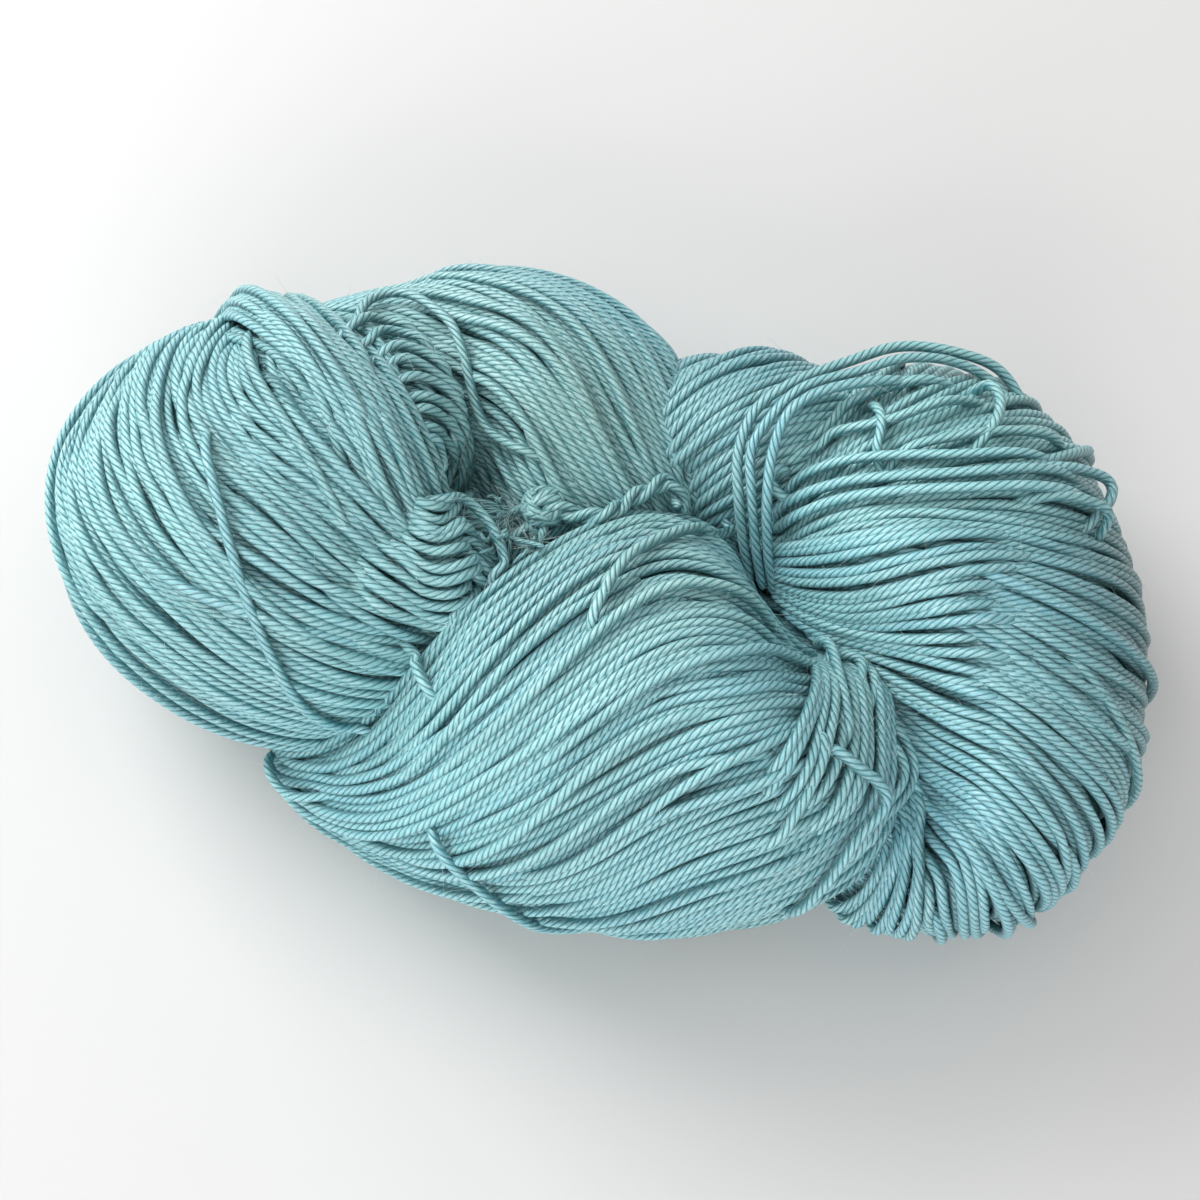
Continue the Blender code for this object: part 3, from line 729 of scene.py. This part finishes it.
def packedStrips(lengths, girth):
    # each strand's own strip of the baked map, in rows from the bottom up
    gap = bakeGap
    order = np.argsort(lengths)[::-1]
    perMm = 1 / math.sqrt(sum((length + gap) * (girth + gap) for length in lengths))
    while True:
        strips = [None] * len(lengths)
        u, v = 0.0, 0.0
        for index in order:
            wide = (lengths[index] + gap) * perMm
            if u + wide > 1.0:
                u = 0.0
                v += (girth + gap) * perMm
            strips[index] = (u, v, perMm)
            u += wide
        if v + (girth + gap) * perMm <= 1.0:
            return strips
        perMm *= 0.985           # the rows don't fit yet


def linked(name, data):
    made = bpy.data.objects.new(name, data)
    bpy.context.scene.collection.objects.link(made)
    return made


def sewn(name, tubes, material, replaced="hank", girth=yarn["thick"] * np.pi):
    # joins tubes to one object with two UV maps: one for baking, and one for the plies' pattern, as a share
    # of the girth and turns of the plies
    strips = packedStrips([travelled[-1] for _, travelled, _ in tubes], girth)
    corners, loops, totals, uvPlies, uvBake, tones, insideShades = [], [], [], [], [], [], []
    start = 0
    for (tube, travelled, under), (u0, v0, perMm) in zip(tubes, strips):
        rings, sides = tube.shape[:2]
        column = np.arange(sides)
        beside = (column + 1) % sides
        ring = start + np.arange(rings - 1)[:, None] * sides
        corner = (ring + column, ring + sides + column, ring + sides + beside, ring + beside)
        quads = np.stack(corner, axis=-1)
        share = np.broadcast_to(np.stack((column, column, column + 1, column + 1), axis=-1), quads.shape)
        along = np.stack((travelled[:-1], travelled[1:], travelled[1:], travelled[:-1]), axis=-1)
        along = np.broadcast_to(along[:, None], quads.shape)
        tone = chance.uniform(0, 1)
        loops.append(quads.ravel())
        totals.append(np.full(len(quads) * sides, 4))
        turned = along / yarn["lay"] + tone * toneTurns
        uvPlies.append(np.stack((share / sides, turned), axis=-1).reshape(-1, 2))
        baked = (u0 + along * perMm, v0 + share / sides * girth * perMm)
        uvBake.append(np.stack(baked, axis=-1).reshape(-1, 2))
        dot = np.stack((np.cos(column), np.sin(column)), axis=1) * perMm * 0.05    # where a cap bakes from
        end = start + (rings - 1) * sides
        for cap, place in ((column[::-1] + end, travelled[-1]), (column + start, 0.0)):
            loops.append(cap)
            totals.append(np.array([sides]))
            uvPlies.append(np.tile((0.0, place / yarn["lay"] + tone * toneTurns), (sides, 1)))
            uvBake.append(dot + (u0 + place * perMm, v0 + girth * perMm / 2))
        corners.append(tube.reshape(-1, 3))
        tones.append(np.full(rings * sides, tone))
        insideShades.append(np.tile(under, rings))
        start += rings * sides
    corners, loops, totals = (np.concatenate(parts) for parts in (corners, loops, totals))
    mesh = bpy.data.meshes.new(name)
    mesh.vertices.add(len(corners))
    mesh.vertices.foreach_set("co", (corners * mm).astype(np.float32).ravel())
    mesh.loops.add(len(loops))
    mesh.loops.foreach_set("vertex_index", loops.astype(np.int32))
    mesh.polygons.add(len(totals))
    mesh.polygons.foreach_set("loop_start", summed(totals)[:-1].astype(np.int32))
    mesh.polygons.foreach_set("use_smooth", np.ones(len(totals), bool))
    for label, uv in (("OFBake", uvBake), ("plies", uvPlies)):
        layer = mesh.uv_layers.new(name=label)
        layer.data.foreach_set("uv", np.concatenate(uv).astype(np.float32).ravel())
    # under is how far each side of a strand faces inward, read by the finish for painted shade
    for label, values in (("tone", tones), ("under", insideShades)):
        shade = mesh.attributes.new(label, "FLOAT", "POINT")
        shade.data.foreach_set("value", np.concatenate(values).astype(np.float32))
    mesh.update()
    mesh.validate()
    mesh.materials.append(material)
    piece = linked(name, mesh)
    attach(piece, "root")
    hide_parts(replaced)
    print("  ", name, len(tubes), "strands", len(loops) - 2 * len(totals), "triangles")


class Value:
    # what a node of a finish puts out, so that it can be reckoned with
    def __init__(self, finish, socket):
        self.finish = finish
        self.socket = socket

    def __add__(self, other):
        return self.finish.maths("ADD", self, other)

    def __sub__(self, other):
        return self.finish.maths("SUBTRACT", self, other)

    def __mul__(self, other):
        return self.finish.maths("MULTIPLY", self, other)


class Finish:
    def __init__(self, name, settings):
        self.material = bpy.data.materials.new(name)
        self.material.use_nodes = True
        self.tree = self.material.node_tree
        self.shader = self.tree.nodes["Principled BSDF"]
        for socket, value in settings.items():
            self.shader.inputs[socket].default_value = value

    def add(self, kind, settings=None, sockets=None, out=0):
        node = self.tree.nodes.new(kind)
        for setting, value in (settings or {}).items():
            setattr(node, setting, value)
        for socket, value in (sockets or {}).items():
            self.give(node.inputs[socket], value)
        return Value(self, node.outputs[out])

    def give(self, socket, value):
        if isinstance(value, Value):
            self.tree.links.new(value.socket, socket)
        else:
            socket.default_value = value

    def feed(self, **sockets):
        for socket, value in sockets.items():
            self.give(self.shader.inputs[socket.replace("_", " ")], value)

    def maths(self, operation, *values):
        return self.add("ShaderNodeMath", {"operation": operation}, dict(enumerate(values)))

    def attribute(self, name):
        return self.add("ShaderNodeAttribute", {"attribute_name": name}, out=2)

    def noise(self, place, scale, detail):
        return self.add("ShaderNodeTexNoise", sockets={"Vector": place, "Scale": scale, "Detail": detail})

    def ranged(self, value, low, high):
        return self.add("ShaderNodeMapRange", sockets={0: value, 1: low, 2: high})

    def mixed(self, share, first, second):
        first, second = ((*c, 1.0) if isinstance(c, tuple) else c for c in (first, second))
        return self.add("ShaderNodeMix", {"data_type": "RGBA"}, {0: share, 6: first, 7: second}, 2)


yarnLook = {
    "pale": (0.34, 0.69, 0.72), "blue": (0.21, 0.52, 0.62), "grey": (0.27, 0.52, 0.51),
    # the first colour on the next line is the painted shade of the grooves and the strands' inward sides; the
    # second is a whitish fibre colour that also paints highlights
    "shadeColour": (0.012, 0.16, 0.19), "hair": (0.72, 0.95, 0.95),
    "plies": 5, "plyWander": 0.5,  # and how unevenly they are wound
    "cloudScale": 17.0, "secondCloud": 1.3, "driftScale": 0.17,  # patches of dye, also along a strand
    "toBlue": (0.44, 0.70), "toGrey": (0.40, 0.62), "greyShare": 0.7,
    "hairScale": (3.2, 9.0), "hairHighlights": (0.46, 0.70), "hairHighlightShare": 0.42,  # fibres across and along a ply; the lighter fibres, kept out of the grooves, are partly a painted highlight
    "groove": (0.40, 1.15), "grooveShare": 0.8,  # painted shade: how the groove between two plies darkens
    "under": (0.04, 0.45), "insideShadeShare": 0.85,  # and painted shade on the sides of a strand that face inward
    "relief": 0.22, "reliefShares": (0.40, 0.55, 0.45),  # depth in mm: of the fibres and of a ply's sides
    "roughness": 0.30, "hairRoughness": 0.25,
    "poolEdge": (1.3, 0.25), "poolWander": 0.012,  # where a pool starts and is full, as shares of its reach
    # where the dye took differently, and darker pools that are painted shade where the form lies in shade: x,
    # y, z and reach in mm, colour and strength
    "dyeAndShadePools": (
        ((-2, 22, 54), 28, (0.22, 0.40, 0.36), 0.85),
        ((-38, 26, 56), 28, (0.19, 0.42, 0.45), 0.7),
        ((16, -2, 66), 22, (0.34, 0.57, 0.54), 0.7),
        ((-32, -36, 34), 34, (0.24, 0.60, 0.66), 0.6),
        ((50, 14, 52), 26, (0.33, 0.72, 0.73), 0.7),
        ((76, -12, 48), 26, (0.17, 0.38, 0.45), 0.7),
        ((60, -42, 44), 26, (0.25, 0.55, 0.65), 0.7),
        ((20, -44, 50), 28, (0.32, 0.68, 0.75), 0.6),
        ((-78, 6, 44), 26, (0.34, 0.69, 0.70), 0.5),
        # this and the next two: darker patches, partly dye and partly painted shade
        ((-44, 0, 58), 22, (0.21, 0.47, 0.51), 0.6),
        ((22, 36, 44), 24, (0.20, 0.45, 0.47), 0.6),
        ((40, -26, 50), 18, (0.21, 0.43, 0.44), 0.6),
        # painted shade over the far right end of the right fold
        ((90, -6, 28), 30, (0.09, 0.15, 0.15), 0.95),
        ((-20, 44, 42), 24, (0.42, 0.68, 0.65), 0.6),
        # painted shade in the hollow under the crest
        ((-22, 15, 40), 13, (0.06, 0.22, 0.24), 0.65),
    ),
}


def yarnFinish(name, look):
    finish = Finish(name, {
        "Specular IOR Level": 0.85, "Sheen Weight": 0.15, "Sheen Roughness": 0.35,
        "Sheen Tint": (0.8, 1.0, 1.0, 1.0),
    })
    place = finish.add("ShaderNodeTexCoord", out=3)
    strand = finish.add("ShaderNodeUVMap", {"uv_map": "plies"})
    around, turns = (finish.add("ShaderNodeSeparateXYZ", sockets={0: strand}, out=out) for out in (0, 1))
    tone = finish.attribute("tone")
    cloud = finish.noise(place, look["cloudScale"], 1.0)
    moved = finish.add("ShaderNodeVectorMath", {"operation": "ADD"}, {0: place, 1: (0.4, 0.7, 0.2)})
    cloudTwo = finish.noise(moved, look["cloudScale"] * look["secondCloud"], 1.0)
    lengthwise = finish.add("ShaderNodeCombineXYZ", sockets={0: turns * look["driftScale"], 1: tone * 61.0})
    drift = finish.noise(lengthwise, 1.0, 2.0)
    toBlue = finish.ranged(cloud * 0.5 + drift * 0.5 + tone * 0.14, *look["toBlue"])
    toGrey = finish.ranged(cloudTwo * 0.5 + drift * 0.5 - tone * 0.10, *look["toGrey"])
    base = finish.mixed(toBlue, look["pale"], look["blue"])
    base = finish.mixed(toGrey * look["greyShare"], base, look["grey"])
    # patches of dye, and pools of painted shade, each faded in over its reach
    for middle, reach, colour, strength in look["dyeAndShadePools"]:
        spot = tuple(value * mm for value in middle)
        apart = finish.add("ShaderNodeVectorMath", {"operation": "DISTANCE"}, {0: place, 1: spot}, out=1)
        edges = [reach * mm * edge for edge in look["poolEdge"]]
        share = finish.ranged(apart + drift * look["poolWander"], *edges)
        base = finish.mixed(share * strength, base, colour)
    # the plies wind round the strand: from the middle of one ply, 1 is the groove beside it
    wound = (around - turns + drift * look["plyWander"]) * float(look["plies"])
    part = finish.maths("FRACT", wound) * 2.0 - 1.0
    away = part * part
    stretched = finish.add("ShaderNodeCombineXYZ", sockets={
        0: wound * look["hairScale"][0], 1: turns * look["hairScale"][1], 2: tone * 40.0,
    })
    hair = finish.noise(stretched, 1.0, 3.0)
    # painted shade in the grooves between the plies
    groove = finish.ranged(away + hair * 0.3, *look["groove"])
    base = finish.mixed(groove * look["grooveShare"], base, look["shadeColour"])
    # painted shade: the sides of each strand that face inward are darkened toward the shade colour
    under = finish.ranged(finish.attribute("under"), *look["under"])
    base = finish.mixed(under * look["insideShadeShare"], base, look["shadeColour"])
    # lighter fibres, fewer in the grooves: partly the fibres' own paler tone and partly a painted highlight
    # on the ply crests
    hairHighlights = finish.ranged(hair - away * 0.12, *look["hairHighlights"])
    base = finish.mixed(hairHighlights * look["hairHighlightShare"], base, look["hair"])
    fibres, steep, gentle = look["reliefShares"]
    height = hair * fibres - away * away * steep - away * gentle
    relief = finish.add("ShaderNodeBump", sockets={
        "Strength": 0.9, "Distance": look["relief"] * mm, "Height": height,
    })
    finish.feed(Base_Color=base, Normal=relief, Roughness=hair * look["hairRoughness"] + look["roughness"])
    return finish.material


# the core's colours are painted shade, for the yarn deep inside the form
coreShadeLook = {"dark": (0.03, 0.14, 0.16), "light": (0.06, 0.22, 0.24)}


def coreFinish(name, look):
    finish = Finish(name, {"Roughness": 0.9})
    place = finish.add("ShaderNodeTexCoord", out=3)
    grain = finish.noise(place, 900.0, 2.0)
    base = finish.mixed(grain, look["dark"], look["light"])
    relief = finish.add("ShaderNodeBump", sockets={"Strength": 0.5, "Distance": 0.0003, "Height": grain})
    finish.feed(Base_Color=base, Normal=relief)
    return finish.material


fuzzLook = {"dark": (0.46, 0.72, 0.73), "light": (0.80, 0.94, 0.94)}


def fuzzFinish(name, look):
    finish = Finish(name, {"Roughness": 0.6})
    finish.feed(Base_Color=finish.mixed(finish.attribute("tone"), look["dark"], look["light"]))
    return finish.material


print("camera")
camera = linked("camera", bpy.data.cameras.new("camera"))
camera.data.lens = photo["lens"]
camera.data.sensor_width = photo["sensor"]
camera.data.clip_start = 0.01
camera.location = Vector(eye * mm)
camera.rotation_euler = Vector(-towardEye).to_track_quat("-Z", "Y").to_euler()
bpy.context.scene.camera = camera

print("strands")
yarnMaterial = yarnFinish("aqua_yarn", yarnLook)
outerRuns = []
for name, lobe in lobes.items():
    runs = visibleRuns(laidStrands(lobe, winding["pitch"]), name, winding["hiddenDepth"])
    runs += visibleRuns(strayStrands(lobe), name, stray["hiddenDepth"])
    outerRuns += runs
    sewn(name + "_strands", [strandTube(*run, yarn) for run in runs], yarnMaterial)
    under = laidStrands(lobe, winding["pitch"] * winding["deepPitch"], winding["deepLayer"], 0.5)
    runs = visibleRuns(under, name, winding["hiddenDepth"])
    sewn(name + "_under", [strandTube(*run, deepYarn) for run in runs], yarnMaterial)

print("slipped and loose strands")
runs = []
for row in slipped.values():
    points = smoothRows(row, np.linspace(0, 1, len(row) * 5)) - tableMiddle
    below = points.mean(axis=0) + (0, 0, -40)
    runs.append((points, unit(points - below)))
runs += [laidByEye(sunkEnds(row)) for row in loose.values()]
for made in sheaves.values():
    runs += sheafOf(made)
outerRuns += runs
sewn("loose_strands", [strandTube(*run, looseYarn) for run in runs], yarnMaterial)

tie = {
    "cord": ((-9, 9.5), (-5.5, 8.5), (-2, 7), (1.5, 7.5), (4.5, 10), (8, 12), (11, 13.5), (12.5, 12),
             (13, 9)),
    "ends": (((-9, 9.5), (-12.5, 10), (-15.5, 9.4)), ((-9, 9.5), (-12.5, 6.5), (-15.4, 4.2)),
             ((-9, 9.5), (-9, 5.5), (-10.5, 1.8))),
    "strand": {"thick": 1.7, "sides": 8, "ring": 0.45},
    "cordLift": 1.5, "cordRows": 70,  # height of the cord's middle above the strands below
    "apart": 0.72, "pairLay": 9.0,  # how far its two strands lie from its middle, and their lay
    "knot": (-9, 9.5), "knotLift": 2.3, "knotHalf": (3.0, 2.8, 1.9),
    "knotStrands": 10, "knotTurns": (3.2, 4.6), "knotRows": 18,  # turns in radians
    "endLift": 1.2, "endRows": 14, "endTip": 0.8,
    "drop": 3.0,  # how far an end may hang below the knot
}

# The frayed ends: short plies that spread from each end, and single fibres among them.
frayed = {
    "ply": {"thick": 0.8, "sides": 5, "ring": 0.45},
    "plies": 14, "lengths": (2.4, 5.2), "rows": 8, "tip": 0.5,
    "spread": 0.7, "rootSpread": 0.22,  # how far they point and start away from the end's own line
    "inside": 1.2,  # how far back in the end they start
    "bend": 0.35, "wave": 0.5,
    "wisps": 100, "wispThick": 0.075, "wispLengths": (1.2, 3.6), "wispBend": 0.6,
    "wispRoots": 2.5, "wispRootSpread": 0.7,
}

print("tie")
knotMiddle = np.array((*tie["knot"], 0.0)) - tableMiddle
knotMiddle[2] = heightUnder(knotMiddle) + tie["knotLift"]
tieTubes = []
cord = laidFlat(tie["cord"], tie["cordLift"], tie["cordRows"])
ahead = unit(np.gradient(cord, axis=0))
upward = unit(np.array((0, 0, 1.0)) - ahead * ahead[:, 2:3])
sideways = np.cross(ahead, upward)
travelled = distancesAlong(cord)
for half in (0, math.pi):
    spun = swung(2 * np.pi * travelled / tie["pairLay"] + half, sideways, upward)
    tieTubes.append(strandTube(cord + spun * tie["apart"], spun + upward, tie["strand"]))
for _ in range(tie["knotStrands"]):
    first = unit(chance.normal(0, 1, 3))
    second = unit(np.cross(first, chance.normal(0, 1, 3)))
    start = chance.uniform(0, 6)
    turn = start + np.linspace(0, chance.uniform(*tie["knotTurns"]), tie["knotRows"])
    ball = swung(turn, first, second)
    tieTubes.append(strandTube(knotMiddle + ball * tie["knotHalf"], ball, tie["strand"]))
wisps = []
shares = np.linspace(0, 1, frayed["rows"])[:, None]
for row in tie["ends"]:
    points = laidFlat(row, tie["endLift"], tie["endRows"])
    points[0] = knotMiddle
    points[:, 2] = np.maximum(points[:, 2], knotMiddle[2] - tie["drop"])
    lead = unit(points[-1] - points[-4])
    tieTubes.append(strandTube(evened(points, 2), upright(points), tie["strand"], tip=tie["endTip"]))
    for _ in range(frayed["plies"]):
        ahead = unit(lead + chance.normal(0, frayed["spread"] / 2, 3) + (0, 0, 0.15))
        length = chance.uniform(*frayed["lengths"])
        bend = chance.normal(0, frayed["bend"], 3)
        wave = frayed["wave"] * np.sin(shares * 9 + chance.uniform(0, 6)) * chance.normal(0, 1, 3)
        start = points[-1] - lead * frayed["inside"] + chance.normal(0, frayed["rootSpread"], 3)
        middles = start + (length + frayed["inside"]) * (shares * ahead + shares**2 * bend) + wave * shares
        tieTubes.append(strandTube(middles, upright(middles), frayed["ply"], tip=frayed["tip"]))
    for _ in range(frayed["wisps"]):
        ahead = unit(lead + chance.normal(0, frayed["spread"], 3) + (0, 0, 0.2))
        start = points[-1] - lead * chance.uniform(0, frayed["wispRoots"])
        start = start + chance.normal(0, frayed["wispRootSpread"], 3)
        length = chance.uniform(*frayed["wispLengths"])
        wisps.append(wisp(start, ahead, length, chance.normal(0, frayed["wispBend"], 3), frayed["wispThick"]))
sewn("tie_strands", tieTubes, yarnMaterial, "tie")

print("fuzz")
fuzzMaterial = fuzzFinish("loose_fibre", fuzzLook)
sewn("tie_wisps", wisps, fuzzMaterial, "tie", girth=0.3)
weights = np.array([len(run) for run, _ in outerRuns], float)
tubes = []
for pick in chance.choice(len(outerRuns), fuzz["wisps"], p=weights / weights.sum()):
    points, outwards = outerRuns[pick]
    row = chance.integers(1, len(points) - 1)
    ahead = unit(points[row + 1] - points[row - 1]) * chance.choice((-1, 1))
    out = unit(outwards[row] + chance.normal(0, fuzz["outSpread"], 3))
    lead = unit(ahead + out * fuzz["lean"] + chance.normal(0, fuzz["leanSpread"], 3))
    start = points[row] + out * yarn["thick"] * fuzz["root"]
    bend = chance.normal(0, fuzz["curl"] / 2, 3) + out * chance.uniform(*fuzz["outCurl"])
    tubes.append(wisp(start, lead, chance.uniform(*fuzz["lengths"]), bend, fuzz["thick"]))
sewn("fuzz", tubes, fuzzMaterial, girth=0.2)

# A dark body inside the strands, so that nothing shows through between them. Its dark colour is painted
# shade: the yarn deep inside is the same aqua as the strands.
coreShape = {"shell": (3.0, 48, 28), "lowest": 0.4}  # how deep it lies, columns and rows, and lowest height

print("core")
points, faces = joined(shellOf(lobe, *coreShape["shell"]) for lobe in lobes.values())
points = np.maximum(points, (-farOff, -farOff, coreShape["lowest"])) * mm
mesh = bpy.data.meshes.new("wound_core")
mesh.from_pydata([Vector(point) for point in points], [], faces)
mesh.materials.append(coreFinish("yarn_depth_shade", coreShadeLook))
core = linked("wound_core", mesh)
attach(core, "root")
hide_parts("hank")

# Lamps: place in metres, watts, size and colour.
lamps = {
    "window": ((-0.45, 0.42, 0.45), 5.0, 0.5, (0.985, 1.0, 1.0)),
    "ceiling": ((-0.15, 0.1, 1.6), 11, 2.2, (1.0, 0.99, 0.975)),
    "front": ((-0.25, -0.9, 0.45), 6.5, 0.8, (0.98, 0.995, 1.0)),
}
room = {"floorSize": 6.0, "floorColour": (0.70, 0.695, 0.69, 1), "light": 0.34}

print("floor and lights")
bpy.ops.mesh.primitive_plane_add(size=room["floorSize"], location=(0, 0, 0))
floor = bpy.context.object
floor.name = "floor"
floorFinish = Finish("floor_white", {"Roughness": 0.9, "Base Color": room["floorColour"]})
floor.data.materials.append(floorFinish.material)
for name, (place, power, size, colour) in lamps.items():
    lamp = bpy.data.lights.new(name, "AREA")
    lamp.energy = power
    lamp.size = size
    lamp.color = colour
    light = linked(name, lamp)
    light.location = place
    light.rotation_euler = (-Vector(place)).to_track_quat("-Z", "Y").to_euler()
world = bpy.data.worlds.new("soft_room")
world.use_nodes = True
world.node_tree.nodes["Background"].inputs["Color"].default_value = (1, 1, 1, 1)
world.node_tree.nodes["Background"].inputs["Strength"].default_value = room["light"]
bpy.context.scene.world = world
bpy.context.scene.view_settings.view_transform = "Standard"
